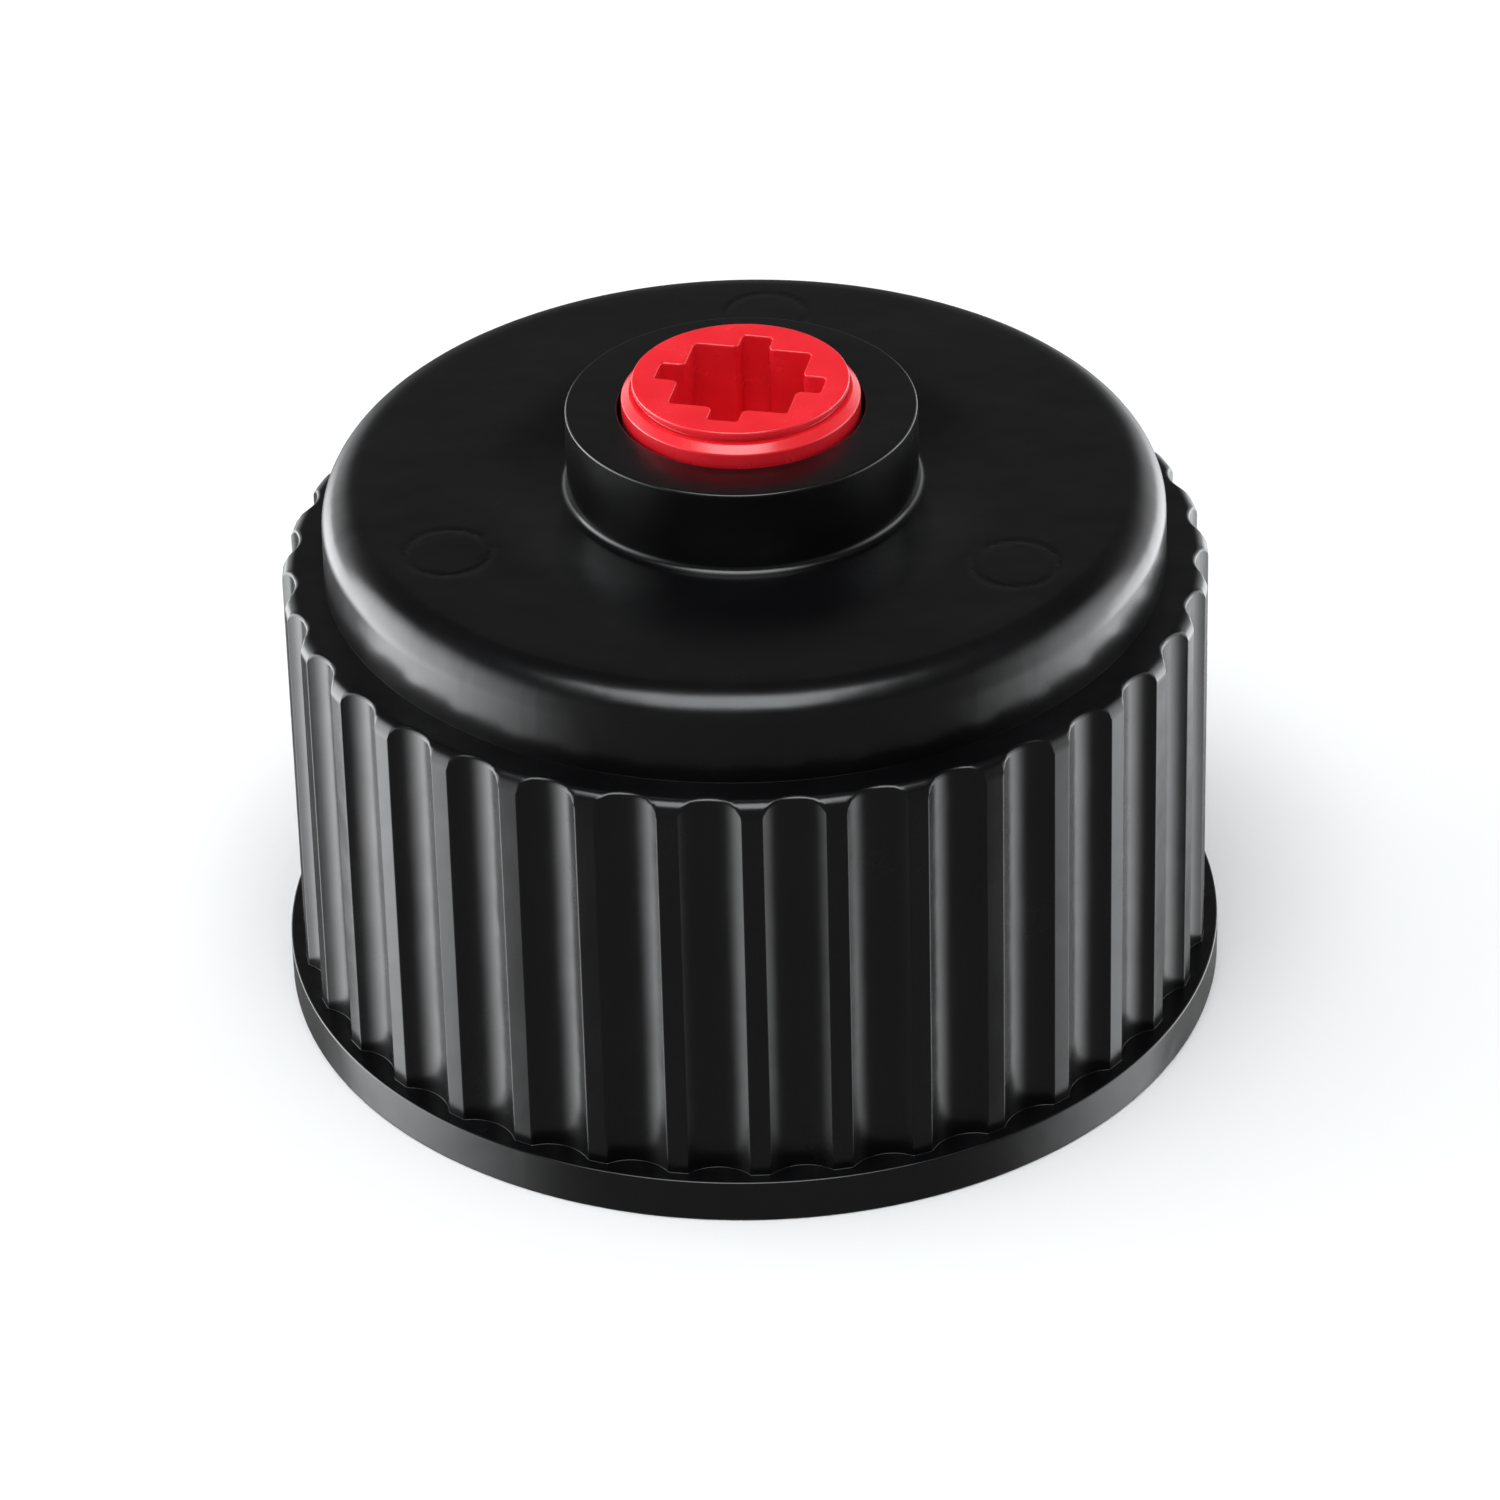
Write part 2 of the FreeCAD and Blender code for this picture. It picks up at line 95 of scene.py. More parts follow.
BOSS_RADIUS = 16.4
BOSS_TOP = top_of("cap_shell")
BOSS_FOOT = 0.7
BOSS_EDGE = 0.25
BOSS_DRAFT = 0.05
RECESS_RADIUS = 11.5
SEAT_HEIGHT = 57.9

MARK_RING = 30.0
MARK_RADIUS = 3.95
MARK_ANGLES = (85, 205, 325)
MARK_DEPTH = 0.05
MARK_EDGE = 0.3
# the mesh has a row at each of these radii, to hold the marks' fine rings
MARK_ROWS = np.arange(34.6, 25.8, -0.42)

GASKET_BORE = 30.5
GASKET_EDGE = 0.15
PLATE_UNDERSIDE = top_of("neck_gasket")
DOME_BORE = 37.0
BEAD_HEIGHT = 47.4
BEAD_RISE = 0.5
STEP_HEIGHT = 41.9
SKIRT_BORE = 39.4
MOUTH_CHAMFER = 1.0

PORT_ROOT = 10.55
PORT_CREST = 9.55
PORT_PITCH = 1.814
PORT_TURNS = 3.6
PORT_START = 51.114
PORT_FOOT = 1.27
PORT_TIP = 0.26
NECK_CREST = 37.7
NECK_PITCH = 6.0
NECK_TURNS = 2.5
NECK_START = 11.7
NECK_FOOT = 3.1
NECK_TIP = 1.9

PLUG_TOP = top_of("port_plug")
PLUG_BOTTOM = bottom_of("port_plug")
DISC_RADIUS = 10.1
DISC_BOTTOM = 62.65
GROOVE_RADIUS = 9.7
GROOVE_BOTTOM = 62.2
BEVEL_RADIUS = 10.35
COLLAR_RADIUS = radius_of("port_plug")
COLLAR_TOP = 61.55
COLLAR_BOTTOM = 59.7
SHANK_RADIUS = 9.3
SHANK_CHAMFER = 0.6
THREAD_CREST = 10.3
THREAD_FOOT = 1.39
THREAD_TIP = 0.35
THREAD_TURNS = 3.25
SOCKET_FLOOR = 52.0
SOCKET_HALF = 5.55
SLOT_HALF_LENGTH = 7.8
SLOT_HALF_WIDTH = 1.4
SOCKET_ANGLE = 77
# how far the socket's outline grows at each height: floor fillet, slight draft, rolled top edge
SOCKET_ROWS = (
    (-0.35, SOCKET_FLOOR),
    (-0.17, SOCKET_FLOOR + 0.08),
    (-0.1, SOCKET_FLOOR + 0.3),
    (-0.05, (SOCKET_FLOOR + PLUG_TOP) / 2),
    (0, PLUG_TOP - 0.22),
    (0.06, PLUG_TOP - 0.06),
    (0.2, PLUG_TOP),
)


# ---------------------------------------------------------------- outlines

def rounded_path(corners, closed=False):
    """Points along straight runs between corners, each corner turned into a true arc.

    A corner is (x, y, radius, arc points, points along the run that follows it). An open
    path's first and last corners only give its direction and aren't part of the result.
    """
    places = [np.array(corner[:2], float) for corner in corners]
    count = len(places)
    indices = range(count) if closed else range(1, count - 1)
    stretches = []
    for i in indices:
        radius, steps = corners[i][2], corners[i][3]
        here, before, after = places[i], places[i - 1], places[(i + 1) % count]
        back = (before - here) / np.linalg.norm(before - here)
        ahead = (after - here) / np.linalg.norm(after - here)
        half = math.acos(np.clip(back @ ahead, -1, 1)) / 2
        if radius == 0 or steps == 1:
            stretches.append([here])
            continue
        cut = radius / math.tan(half)
        middle = (back + ahead) / np.linalg.norm(back + ahead)
        centre = here + middle * radius / math.sin(half)
        first, last = here + back * cut - centre, here + ahead * cut - centre
        sweep = math.atan2(first[0] * last[1] - first[1] * last[0], first @ last)
        arc = []
        for share in np.linspace(0, 1, steps):
            c, s = math.cos(sweep * share), math.sin(sweep * share)
            spoke = np.array([c * first[0] - s * first[1], s * first[0] + c * first[1]])
            arc.append(centre + spoke)
        stretches.append(arc)
    points = []
    for order, i in enumerate(indices):
        points += stretches[order]
        if order + 1 < len(stretches) or closed:
            start, stop = stretches[order][-1], stretches[(order + 1) % len(stretches)][0]
            shares = np.linspace(0, 1, corners[i][4] + 2)[1:-1]
            points += [start + (stop - start) * share for share in shares]
    return [tuple(point) for point in points]


def smoothstep(value):
    value = np.clip(value, 0, 1)
    return value * value * (3 - 2 * value)


# ---------------------------------------------------------------- meshes

def signed_volume(points, faces):
    """Six times the volume that the faces enclose, negative where they face inwards."""
    total = 0.0
    for face in faces:
        first = points[face[0]]
        for second, third in zip(face[1:-1], face[2:]):
            total += first @ np.cross(points[second], points[third])
    return total


def moulding(name, parts):
    """One smooth-shaded object from several closed meshes, each as points, faces and normals."""
    vertices, faces, normals, first = [], [], [], 0
    for points, corners, shading in parts:
        points = np.asarray(points, float)
        if signed_volume(points, corners) < 0:
            corners = [tuple(reversed(face)) for face in corners]
            shading = -shading
        vertices.append(points)
        normals.append(shading)
        faces += [tuple(first + corner for corner in face) for face in corners]
        first += len(points)
    mesh = bpy.data.meshes.new(name)
    mesh.from_pydata((np.vstack(vertices) * MM).tolist(), [], faces)
    mesh.polygons.foreach_set("use_smooth", [True] * len(mesh.polygons))
    mesh.update()
    mesh.normals_split_custom_set_from_vertices(np.vstack(normals).tolist())
    obj = bpy.data.objects.new(name, mesh)
    bpy.context.scene.collection.objects.link(obj)
    return obj


def grid_normals(points, rows, columns, closed):
    """A normal per point, from the points on either side of it in both directions.

    The longer of two neighbouring faces counts more, so flats stay flat up to their edges.
    """
    grid = np.asarray(points)[:rows * columns].reshape(rows, columns, 3)
    along = np.roll(grid, -1, 1) - np.roll(grid, 1, 1)
    across = np.roll(grid, -1, 0) - np.roll(grid, 1, 0) if closed else np.gradient(grid, axis=0)
    normals = np.cross(along, across).reshape(-1, 3)
    return normals / np.linalg.norm(normals, axis=1)[:, None]


def grid_faces(rows, columns, closed):
    """Quads between neighbouring rows whose columns run all the way round."""
    faces = []
    for i in range(rows if closed else rows - 1):
        low, high = i * columns, ((i + 1) % rows) * columns
        for j in range(columns):
            k = (j + 1) % columns
            faces.append((low + j, low + k, high + k, high + j))
    return faces


def turned(outline, columns):
    """A closed outline of (radius, height) carried round Z, as points, faces and normals."""
    angles = np.arange(columns) * TURN / columns
    rows = [np.c_[r * np.cos(angles), r * np.sin(angles), np.full(columns, z)] for r, z in outline]
    points, count = np.vstack(rows), len(rows)
    return points, grid_faces(count, columns, True), grid_normals(points, count, columns, True)


# a thread's ridge is sunk this far into its wall, and its ends keep these shares of its
# height and width
RIDGE_SINK = 0.25
RIDGE_END_HEIGHT = 0.03
RIDGE_END_WIDTH = 0.4


def helical_ridge(wall, crest, root_width, crest_width, pitch, turns, start, per_turn, fade):
    """A screw thread's ridge on a cylinder, as one closed mesh.

    The ridge stands inwards or outwards from the wall's radius to the crest's. Its foot is
    sunk into the wall, and both ends run out over the fade, a share of a turn. Widths are
    along the axis, at the ridge's foot and at its flat tip.
    """
    rise = crest - wall
    sink = -RIDGE_SINK * np.sign(rise)
    side = (root_width - crest_width) / 2
    half = root_width / 2

    # the section as (away from the wall, along the axis), from one foot over the tip to the other
    section = [(sink, -half), (0, -half), (0.5 * rise, -half + 0.5 * side)]
    section += [(0.93 * rise, -half + 0.93 * side), (rise, -half + 1.3 * side)]
    section += [(across, -along) for across, along in reversed(section)]
    steps = int(per_turn * turns)
    points = []
    for i in range(steps + 1):
        turn = turns * i / steps
        share = max(float(smoothstep(min(turn, turns - turn) / fade)), RIDGE_END_HEIGHT)
        width = RIDGE_END_WIDTH + (1 - RIDGE_END_WIDTH) * share
        angle = turn * TURN
        for across, along in section:
            radius = wall + (sink if across == sink else across * share)
            height = start + pitch * turn + along * width
            points.append((radius * math.cos(angle), radius * math.sin(angle), height))
    size = len(section)
    faces = [tuple(reversed(range(size))), tuple(range(steps * size, (steps + 1) * size))]
    for i in range(steps):
        low, high = i * size, (i + 1) * size
        for j in range(size):
            k = (j + 1) % size
            faces.append((low + j, low + k, high + k, high + j))
    points = np.array(points)
    return points, faces, grid_normals(points, steps + 1, size, False)


# ---------------------------------------------------------------- cap moulding

def flute_section():
    """Column angles, from a flute's middle, for the hollow and for its rolled edge.

    They lie at even turns of each arc, and the second set carries on where the first ends.
    """
    reach, span = CREST_RADIUS - FLUTE_ROLL, FLUTE_ARC + FLUTE_ROLL
    roll_x = (reach ** 2 - span ** 2 + FLUTE_CENTRE ** 2) / (2 * FLUTE_CENTRE)
    roll_y = math.sqrt(reach ** 2 - roll_x ** 2)
    steepest = math.asin(roll_y / span)
    swing = np.linspace(0, steepest, 6)
    hollow = np.arctan2(FLUTE_ARC * np.sin(swing), FLUTE_CENTRE - FLUTE_ARC * np.cos(swing))
    swing = np.linspace(steepest, -math.atan2(roll_y, roll_x), 5)
    roll = np.arctan2(roll_y - FLUTE_ROLL * np.sin(swing), roll_x + FLUTE_ROLL * np.cos(swing))
    return hollow, roll[1:]


HOLLOW, ROLL = flute_section()
HOLLOW_END, ROLL_END = HOLLOW[-1], ROLL[-1]


def cap_columns():
    """Every column's angle round the cap, and its angle from its own flute's middle."""
    half = np.r_[HOLLOW, ROLL]
    ridge_middle = math.pi / FLUTES
    one = np.r_[-half[:0:-1], half, [ridge_middle]]
    angles = np.concatenate([one + TURN / FLUTES * (i + 0.5) for i in range(FLUTES)])
    return angles, np.tile(np.abs(one), FLUTES)


def half_chord(radius, distance):
    """Half the length of a circle's chord at a distance from its centre, zero outside it."""
    return np.sqrt(np.maximum(radius ** 2 - distance ** 2, 0))


def grip_radius(offset, height):
    """Radius of the grip at an angle from a flute's middle; the whole section leans inwards."""
    lean = CREST_DRAFT * (height - FLANGE_TOP) / (LEDGE_HEIGHT - FLANGE_TOP)
    crest, centre = CREST_RADIUS - lean, FLUTE_CENTRE - lean
    hollow = centre * np.cos(offset) - half_chord(FLUTE_ARC, centre * np.sin(offset))
    reach, aside = crest - FLUTE_ROLL, offset - ROLL_END
    roll = reach * np.cos(aside) + half_chord(FLUTE_ROLL, reach * np.sin(aside))
    tiny = 1e-9
    in_flute = np.where(offset > HOLLOW_END + tiny, roll, hollow)
    return np.where(offset > ROLL_END - tiny, crest, in_flute)


def grip_rows(offset):
    """Rows of radius and height per column, from the flange's top up over the ledge's edge."""
    foot = grip_radius(offset, FLANGE_TOP)
    rows = [(foot + FLUTE_FOOT, FLANGE_TOP), (foot, FLANGE_TOP + FLUTE_FOOT)]

    # the shoulder is a quarter ellipse, and where a flute cuts into it the corner is rolled
    across, up = SHOULDER_WIDTH - SHOULDER_ROLL, SHOULDER_DROP - SHOULDER_ROLL
    edge = CREST_RADIUS - CREST_DRAFT - SHOULDER_WIDTH
    low = LEDGE_HEIGHT - SHOULDER_DROP
    limit = grip_radius(offset, LEDGE_HEIGHT) - SHOULDER_ROLL
    corner = low + up * np.sqrt(1 - np.clip((limit - edge) / across, 0, 1) ** 2)
    for share in np.linspace(0, 1, 4)[1:-1]:
        height = (FLANGE_TOP + FLUTE_FOOT) * (1 - share) + corner * share
        rows.append((grip_radius(offset, height), height))
    for swing in np.radians(np.linspace(0, 90, 10)):
        cos, sin = math.cos(swing), math.sin(swing)
        length = math.hypot(across * cos, up * sin)
        radius = np.full_like(limit, edge + across ** 2 * cos / length)
        height = np.full_like(limit, low + up ** 2 * sin / length)
        cut = radius > limit
        radius, height = np.where(cut, limit, radius), np.where(cut, corner, height)
        rows.append((radius + SHOULDER_ROLL * cos, height + SHOULDER_ROLL * sin))
    return rows


def body_outline():
    """The rest of the cap's half section: ledge, dome, boss, inside, mouth and flange."""
    across_marks = [(radius, TOP_PLATE, 0, 1, 0) for radius in MARK_ROWS]
    bead_top = BEAD_HEIGHT + 2 * BEAD_RISE
    return rounded_path([
        (CREST_RADIUS, LEDGE_HEIGHT, 0, 1, 0),
        (DOME_RADIUS, LEDGE_HEIGHT, DOME_FOOT, 2, 1),
        (DOME_RADIUS - DOME_DRAFT, TOP_PLATE, DOME_ROLL, 13, 0),
        *across_marks,
        (DISH_RADIUS, TOP_PLATE, DISH_BEND, 5, 1),
        (BOSS_RADIUS, TOP_PLATE - DISH_DEPTH, BOSS_FOOT, 6, 1),
        (BOSS_RADIUS - BOSS_DRAFT, BOSS_TOP, BOSS_EDGE, 4, 1),
        (RECESS_RADIUS, BOSS_TOP, 0.2, 4, 1),
        (RECESS_RADIUS, SEAT_HEIGHT, 0.12, 3, 0),
        (PORT_ROOT, SEAT_HEIGHT, 0.1, 3, 2),
        (PORT_ROOT, PLATE_UNDERSIDE, 0.2, 3, 1),
        (DOME_BORE, PLATE_UNDERSIDE, 0.08, 3, 0),
        (DOME_BORE, bead_top, 0.1, 2, 0),
        (DOME_BORE - BEAD_RISE, bead_top - BEAD_RISE / 2, 0.12, 3, 0),
        (DOME_BORE - BEAD_RISE, BEAD_HEIGHT + BEAD_RISE, 0.12, 3, 0),
        (DOME_BORE, BEAD_HEIGHT, 0.1, 2, 1),
        (DOME_BORE, STEP_HEIGHT, 0.5, 4, 0),
        (SKIRT_BORE, STEP_HEIGHT, 0.8, 4, 1),
        (SKIRT_BORE, MOUTH_CHAMFER, 0.3, 3, 0),
        (SKIRT_BORE + MOUTH_CHAMFER, 0, 0.25, 3, 1),
        (FLANGE_RADIUS, 0, FLANGE_EDGE, 5, 1),
        (FLANGE_RADIUS, FLANGE_TOP, FLANGE_EDGE, 5, 0),
        (CREST_RADIUS, FLANGE_TOP, 0, 1, 0),
    ])


def mark_relief(x, y, z):
    """How far each point of the top plate sinks: every ejector mark is a fine ring."""
    depth = np.zeros_like(x)
    for angle in np.radians(MARK_ANGLES):
        away = np.hypot(x - MARK_RING * math.cos(angle), y - MARK_RING * math.sin(angle))
        depth += MARK_DEPTH * np.exp(-((away - MARK_RADIUS) / MARK_EDGE) ** 2)
    return np.where(np.abs(z - TOP_PLATE) < 0.01, depth, 0)


def cap_mesh():
    """The cap's whole surface as one grid, closed round Z and round its half section."""
    angles, offset = cap_columns()
    rows = grip_rows(offset) + body_outline()
    points = []
    for radius, height in rows:
        radius = np.broadcast_to(radius, angles.shape)
        x, y = radius * np.cos(angles), radius * np.sin(angles)
        z = np.broadcast_to(height, angles.shape)
        points.append(np.c_[x, y, z - mark_relief(x, y, z)])
    points = np.vstack(points)
    faces = grid_faces(len(rows), len(angles), True)
    return points, faces, grid_normals(points, len(rows), len(angles), True)


def make_cap():
    neck = helical_ridge(SKIRT_BORE, NECK_CREST, NECK_FOOT, NECK_TIP, NECK_PITCH, NECK_TURNS,
                         NECK_START, per_turn=144, fade=0.12)
    port = helical_ridge(PORT_ROOT, PORT_CREST, PORT_FOOT, PORT_TIP, PORT_PITCH, PORT_TURNS,
                         PORT_START, per_turn=72, fade=0.1)
    # the port's ridge lies midway between the turns of the plug's
    port[0][:, 2] += PORT_PITCH / 2
    return moulding("cap_moulding", [cap_mesh(), neck, port])


# ---------------------------------------------------------------- plug moulding

def socket_outline(grow):
    """The drive socket from above, grown outwards by a little: a square crossed by two slots."""
    square, length, width = SOCKET_HALF + grow, SLOT_HALF_LENGTH + grow, SLOT_HALF_WIDTH + grow
    tight, roll = 0.3 + grow * 0.4, 0.7 - grow
    quarter = [
        (length, -width, tight, 3, 5),
        (length, width, tight, 3, 2),
        (square, width, roll, 6, 6),
        (square, square, tight, 3, 6),
        (width, square, roll, 6, 2),
    ]
    corners = []
    for turn in range(4):
        c, s = round(math.cos(turn * math.pi / 2)), round(math.sin(turn * math.pi / 2))
        corners += [(c * x - s * y, s * x + c * y, *rest) for x, y, *rest in quarter]
    return np.array(rounded_path(corners, closed=True))


def plug_mesh():
    """The plug's surface, from the socket's floor over the rim and down to its lower end."""
    base = socket_outline(0)
    angles = np.arctan2(base[:, 1], base[:, 0])
    rows = [(socket_outline(-0.1) * 0.45, SOCKET_FLOOR)]
    rows += [(socket_outline(grow), height) for grow, height in SOCKET_ROWS]
    outline = rounded_path([
        (DISC_RADIUS - 1.6, PLUG_TOP, 0, 1, 0),
        (DISC_RADIUS - 0.8, PLUG_TOP, 0, 1, 0),
        (DISC_RADIUS, PLUG_TOP, 0.2, 4, 0),
        (DISC_RADIUS, DISC_BOTTOM, 0.12, 3, 0),
        (GROOVE_RADIUS, DISC_BOTTOM, 0.1, 3, 0),
        (GROOVE_RADIUS, GROOVE_BOTTOM, 0.1, 3, 0),
        (BEVEL_RADIUS, GROOVE_BOTTOM, 0.15, 3, 1),
        (COLLAR_RADIUS, COLLAR_TOP, 0.25, 4, 1),
        (COLLAR_RADIUS, COLLAR_BOTTOM, 0.15, 3, 1),
        (SHANK_RADIUS, COLLAR_BOTTOM, 0.1, 3, 6),
        (SHANK_RADIUS, PLUG_BOTTOM + SHANK_CHAMFER, 0.15, 2, 0),
        (SHANK_RADIUS - SHANK_CHAMFER, PLUG_BOTTOM, 0.2, 3, 0),
        (4, PLUG_BOTTOM, 0, 1, 0),
        (0, PLUG_BOTTOM, 0, 1, 0),
    ])
    ring = np.c_[np.cos(angles), np.sin(angles)]
    rows += [(ring * radius, height) for radius, height in outline]
    count = len(base)
    points = [np.c_[place, np.full(count, height)] for place, height in rows]
    points.append([[0, 0, SOCKET_FLOOR], [0, 0, PLUG_BOTTOM]])
    faces = grid_faces(len(rows), count, False)
    floor_centre, last = len(rows) * count, (len(rows) - 1) * count
    for j in range(count):
        k = (j + 1) % count
        faces.append((floor_centre, k, j))
        faces.append((floor_centre + 1, last + j, last + k))
    points = np.vstack(points)
    normals = np.vstack([grid_normals(points, len(rows), count, False), [[0, 0, -1], [0, 0, 1]]])
    return points, faces, normals


def make_plug():
    points, faces, normals = plug_mesh()
    turn = math.radians(SOCKET_ANGLE)
    c, s = math.cos(turn), math.sin(turn)
    for rows in (points, normals):
        rows[:, :2] = rows[:, :2] @ np.array([[c, s], [-s, c]])
    thread = helical_ridge(SHANK_RADIUS, THREAD_CREST, THREAD_FOOT, THREAD_TIP, PORT_PITCH,
                           THREAD_TURNS, PORT_START, per_turn=72, fade=0.12)
    return moulding("plug_moulding", [(points, faces, normals), thread])


# ---------------------------------------------------------------- gaskets

def make_neck_gasket():
    """The flat ring under the top plate, with slightly rounded edges."""
    outer = radius_of("neck_gasket")
    top, low = top_of("neck_gasket"), bottom_of("neck_gasket")
    outline = rounded_path([
        (outer, low, GASKET_EDGE, 3, 1),
        (outer, top, GASKET_EDGE, 3, 3),
        (GASKET_BORE, top, GASKET_EDGE, 3, 1),
        (GASKET_BORE, low, GASKET_EDGE, 3, 3),
    ], closed=True)
    return moulding("neck_seal", [turned(outline, 240)])


def make_plug_gasket():
    """The O-ring under the plug's flange."""
    top, low = top_of("plug_gasket"), bottom_of("plug_gasket")
    section = (top - low) / 2
    middle = radius_of("plug_gasket") - section
    angles = np.linspace(0, TURN, 28, endpoint=False)
    outline = [(middle + section * math.cos(a), (top + low) / 2 + section * math.sin(a)) for a in angles]
    return moulding("plug_ring", [turned(outline, 160)])


# ---------------------------------------------------------------- materials

class Nodes:
    """A short way to write a material's node tree."""

    def __init__(self, name):
        self.material = bpy.data.materials.new(name)
        self.material.use_nodes = True
        self.tree = self.material.node_tree
        self.shader = self.tree.nodes["Principled BSDF"]

    def add(self, kind, **settings):
        node = self.tree.nodes.new(kind)
        for key, value in settings.items():
            if key in node.inputs:
                node.inputs[key].default_value = value
            else:
                setattr(node, key, value)
        return node

    def link(self, source, target):
        self.tree.links.new(source, target)

    def noise(self, scale, detail=3.0, roughness=0.5):
        """Object-space noise; the scale is in features per metre."""
        if not hasattr(self, "place"):
            self.place = self.add("ShaderNodeTexCoord")
        noise = self.add("ShaderNodeTexNoise", Scale=scale, Detail=detail, Roughness=roughness)
        self.link(self.place.outputs["Object"], noise.inputs["Vector"])
        return noise.outputs["Fac"]

    def spread(self, value, low, high, start=0.3, stop=0.7):
        """Map a value from start..stop to low..high."""
        node = self.add("ShaderNodeMapRange")
        for key, number in (("From Min", start), ("From Max", stop), ("To Min", low), ("To Max", high)):
            node.inputs[key].default_value = number
        self.link(value, node.inputs["Value"])
        return node.outputs["Result"]

    def mix(self, share, first, second):
        """A colour between two, by a share from 0 to 1."""
        node = self.add("ShaderNodeMix", data_type="RGBA")
        node.inputs["A"].default_value = (*first, 1)
        node.inputs["B"].default_value = (*second, 1)
        self.link(share, node.inputs["Factor"])
        return node.outputs["Result"]

    def bump(self, height, distance, strength=1.0, below=None):
        """A bump of a real height in metres, on top of another bump."""
        node = self.add("ShaderNodeBump", Distance=distance, Strength=strength)
        self.link(height, node.inputs["Height"])
        if below:
            self.link(below, node.inputs["Normal"])
        return node.outputs["Normal"]


def black_plastic():
    """Satin black moulded plastic: fine grain, soft waviness and a few duller patches."""
    n = Nodes("black_plastic")
    patches = n.noise(90, 4, 0.6)
    grain = n.noise(5200, 2, 0.6)
    n.link(n.mix(n.spread(patches, 0, 1), (0.0012, 0.0012, 0.0015), (0.0019, 0.0019, 0.0023)),
           n.shader.inputs["Base Color"])
    n.link(n.spread(patches, 0.22, 0.28), n.shader.inputs["Roughness"])
    waves = n.bump(n.noise(120, 2, 0.5), 0.00012)
    n.link(n.bump(grain, 0.000004, below=waves), n.shader.inputs["Normal"])
    n.shader.inputs["IOR"].default_value = 1.5
    n.shader.inputs["Specular IOR Level"].default_value = 0.6
    return n.material


def red_plastic():
    """Red moulded plastic with a soft sheen and slightly uneven colour."""
    n = Nodes("red_plastic")
    patches = n.noise(260, 3, 0.5)
    n.link(n.mix(n.spread(patches, 0, 1), (0.76, 0.012, 0.021), (0.83, 0.017, 0.029)),
           n.shader.inputs["Base Color"])
    n.link(n.spread(patches, 0.21, 0.29), n.shader.inputs["Roughness"])
    n.link(n.bump(n.noise(4200, 2, 0.6), 0.000005), n.shader.inputs["Normal"])
    n.shader.inputs["IOR"].default_value = 1.5
    n.shader.inputs["Specular IOR Level"].default_value = 0.7
    return n.material


def rubber(name, dark, light):
    """Matt rubber with a fine, uneven surface."""
    n = Nodes(name)
    cloud = n.noise(400, 4, 0.6)
    n.link(n.mix(n.spread(cloud, 0, 1), dark, light), n.shader.inputs["Base Color"])
    n.link(n.spread(cloud, 0.62, 0.8), n.shader.inputs["Roughness"])
    n.link(n.bump(n.noise(3500, 3, 0.6), 0.00001), n.shader.inputs["Normal"])
    return n.material


# ---------------------------------------------------------------- stage, lights and camera

STAGE_REACH = 1.1
FLOOR_HALF_SIZE = 6
LIGHT_COLOUR = (0.965, 0.985, 1.0)

# name, azimuths from the front, elevations, brightness, fades at the edges
WALL_BOXES = (
    ("left_wall", (-121, -42), (-48, 43), 6.3, (0, 0.85, 0.38, 0.4)),
    ("left_rear", (-168, -121), (-27, 4), 4.7, (0.8, 0, 0.35, 0.1)),
    ("left_glow", (-168, -121), (0, 34), 1.2, (0.4, 0, 0, 0.8)),
    ("right_wall", (56, 120), (-48, 42), 2.7, (0.7, 0.1, 0.3, 0.4)),
    ("right_rear", (98, 174), (-35, 2), 4.1, (0.35, 0.6, 0.4, 0.1)),
    ("right_glow", (121, 168), (0, 34), 1.2, (0, 0.4, 0, 0.8)),
)


def floor_material():
    n = Nodes("pale_floor")
    n.shader.inputs["Base Color"].default_value = (0.93, 0.93, 0.93, 1)
    n.shader.inputs["Roughness"].default_value = 0.9
    return n.material


def pale_floor():
    """A plain floor that the glossy cap doesn't mirror and that casts no shadow."""
    corners = [(-1, -1), (1, -1), (1, 1), (-1, 1)]
    mesh = bpy.data.meshes.new("floor")
    places = [(x * FLOOR_HALF_SIZE, y * FLOOR_HALF_SIZE, 0) for x, y in corners]
    mesh.from_pydata(places, [], [(0, 1, 2, 3)])
    floor = bpy.data.objects.new("floor", mesh)
    bpy.context.scene.collection.objects.link(floor)
    floor.data.materials.append(floor_material())
    floor.visible_glossy = False
    floor.visible_shadow = False


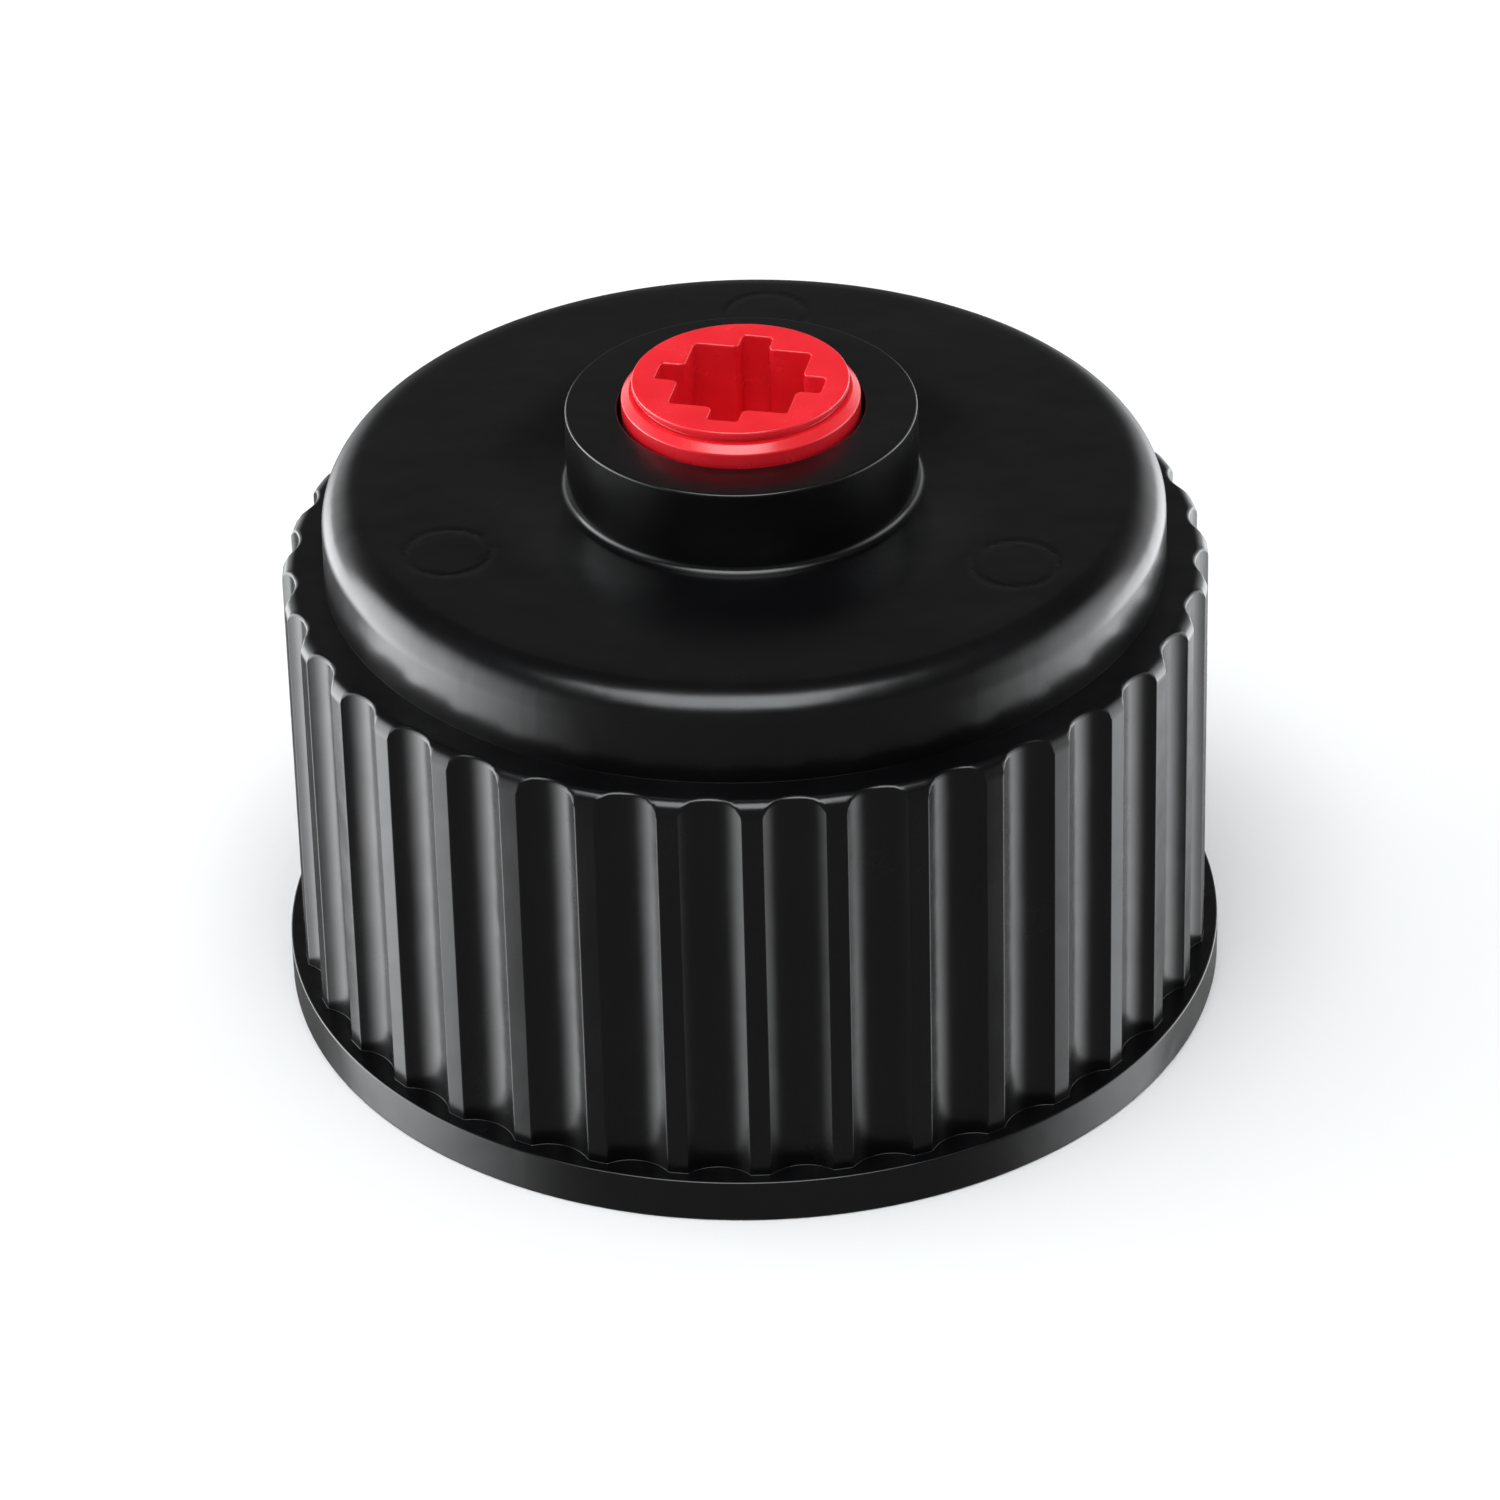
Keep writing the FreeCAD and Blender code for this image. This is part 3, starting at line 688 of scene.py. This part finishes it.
def softbox(name, place, aim, size, brightness, fades=(0, 0, 0, 0)):
    """A rectangular light of an even brightness, facing a point.

    The fades are the shares of its width and height over which the light dies away at the
    left, right, lower and upper edge, as its own face has them.
    """
    width, height = size
    light = bpy.data.lights.new(name, "AREA")
    light.shape = "RECTANGLE"
    light.color = LIGHT_COLOUR
    light.size, light.size_y = width, height
    light.energy = brightness * math.pi * width * height
    light.use_nodes = True
    tree = light.node_tree
    emission = tree.nodes["Emission"]
    place_on_face = tree.nodes.new("ShaderNodeNewGeometry")
    split = tree.nodes.new("ShaderNodeSeparateXYZ")
    tree.links.new(place_on_face.outputs["Parametric"], split.inputs[0])
    level = None
    edges = [("X", fades[0], 0), ("X", fades[1], 1), ("Y", fades[2], 0), ("Y", fades[3], 1)]
    for axis, fade, edge in edges:
        if not fade:
            continue
        ramp = tree.nodes.new("ShaderNodeMapRange")
        ramp.interpolation_type = "SMOOTHSTEP"
        ramp.inputs["From Min"].default_value = edge
        ramp.inputs["From Max"].default_value = edge + (fade if edge == 0 else -fade)
        tree.links.new(split.outputs[axis], ramp.inputs["Value"])
        if level is None:
            level = ramp.outputs["Result"]
            continue
        product = tree.nodes.new("ShaderNodeMath")
        product.operation = "MULTIPLY"
        tree.links.new(level, product.inputs[0])
        tree.links.new(ramp.outputs["Result"], product.inputs[1])
        level = product.outputs["Value"]
    if level is not None:
        tree.links.new(level, emission.inputs["Strength"])
    obj = bpy.data.objects.new(name, light)
    obj.location = place
    obj.rotation_euler = (Vector(aim) - Vector(place)).to_track_quat("-Z", "Y").to_euler()
    obj.visible_camera = False
    bpy.context.scene.collection.objects.link(obj)
    return obj


def wall_box(name, azimuths, elevations, brightness, fades=(0, 0, 0, 0)):
    """An upright softbox that fills a range of directions, in degrees from the front."""
    first, last = azimuths
    middle, half = math.radians(first + last) / 2, math.radians(last - first) / 2
    low, high = (STAGE_REACH * math.tan(math.radians(angle)) for angle in elevations)
    centre = (STAGE_REACH * math.sin(middle), -STAGE_REACH * math.cos(middle), (low + high) / 2)
    size = (2 * STAGE_REACH * math.tan(half), high - low)
    softbox(name, centre, (0, 0, centre[2]), size, brightness, fades)


def studio_walls():
    """Dim surroundings, darker from about 30 degrees above the horizon upwards."""
    world = bpy.data.worlds.new("studio")
    world.use_nodes = True
    tree = world.node_tree
    direction = tree.nodes.new("ShaderNodeTexCoord")
    split = tree.nodes.new("ShaderNodeSeparateXYZ")
    ramp = tree.nodes.new("ShaderNodeMapRange")
    ramp.interpolation_type = "SMOOTHSTEP"
    for key, value in (("From Min", 0.45), ("From Max", 0.62), ("To Min", 0.15), ("To Max", 0.05)):
        ramp.inputs[key].default_value = value
    tree.links.new(direction.outputs["Generated"], split.inputs[0])
    tree.links.new(split.outputs["Z"], ramp.inputs["Value"])
    tree.links.new(ramp.outputs["Result"], tree.nodes["Background"].inputs["Strength"])
    tree.nodes["Background"].inputs["Color"].default_value = (1, 1, 1, 1)
    bpy.context.scene.world = world


def studio():
    """A large box overhead towards the front, and the boxes on each side.

    The fill lifts the floor and the plug's colour, and isn't mirrored in the gloss.
    """
    studio_walls()
    high = STAGE_REACH
    softbox("overhead", (-0.1 * high, -0.355 * high, high), (-0.1 * high, -0.355 * high, 0),
            (0.9 * high, 0.82 * high), 5.2, (0.25, 0.1, 0.1, 0.2))
    fill = softbox("fill", (0, 0, high), (0, 0, 0), (2 * high, 2 * high), 0.9)
    fill.visible_glossy = False
    for box in WALL_BOXES:
        wall_box(*box)


CAMERA_TARGET = 0.0221
CAMERA_DISTANCE = 0.6177
CAMERA_ELEVATION = 33.44
CAMERA_ROLL = 1.486
CAMERA_LENS = 154.8


def camera():
    """A long lens in front of the cap, looking down on it."""
    data = bpy.data.cameras.new("camera")
    data.lens = CAMERA_LENS
    data.sensor_width = 36
    obj = bpy.data.objects.new("camera", data)
    rise = math.radians(CAMERA_ELEVATION)
    away = Vector((0, -math.cos(rise), math.sin(rise)))
    look = (-away).to_track_quat("-Z", "Y").to_matrix().to_4x4()
    place = Matrix.Translation(Vector((0, 0, CAMERA_TARGET)) + away * CAMERA_DISTANCE)
    obj.matrix_world = place @ look @ Matrix.Rotation(-math.radians(CAMERA_ROLL), 4, "Z")
    bpy.context.scene.collection.objects.link(obj)
    bpy.context.scene.camera = obj
    bpy.context.scene.view_settings.view_transform = "Standard"


# ---------------------------------------------------------------- the object

def finish_piece(obj, material, body, slot, *nodes):
    """Give a piece its material and body, and hide the CAD nodes it stands for. The slot is not used."""
    obj.data.materials.append(material)
    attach(obj, body)
    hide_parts(*nodes)


finish_piece(make_cap(), black_plastic(), "root", "black_moulding", "cap_shell")
finish_piece(make_neck_gasket(), rubber("grey_rubber", (0.035, 0.035, 0.037), (0.06, 0.06, 0.062)),
             "root", "neck_rubber", "neck_gasket")
finish_piece(make_plug(), red_plastic(), "plug", "red_moulding", "port_plug")
finish_piece(make_plug_gasket(), rubber("black_rubber", (0.012, 0.012, 0.013), (0.024, 0.024, 0.025)),
             "seal_ring", "ring_rubber", "plug_gasket")
pale_floor()
studio()
camera()
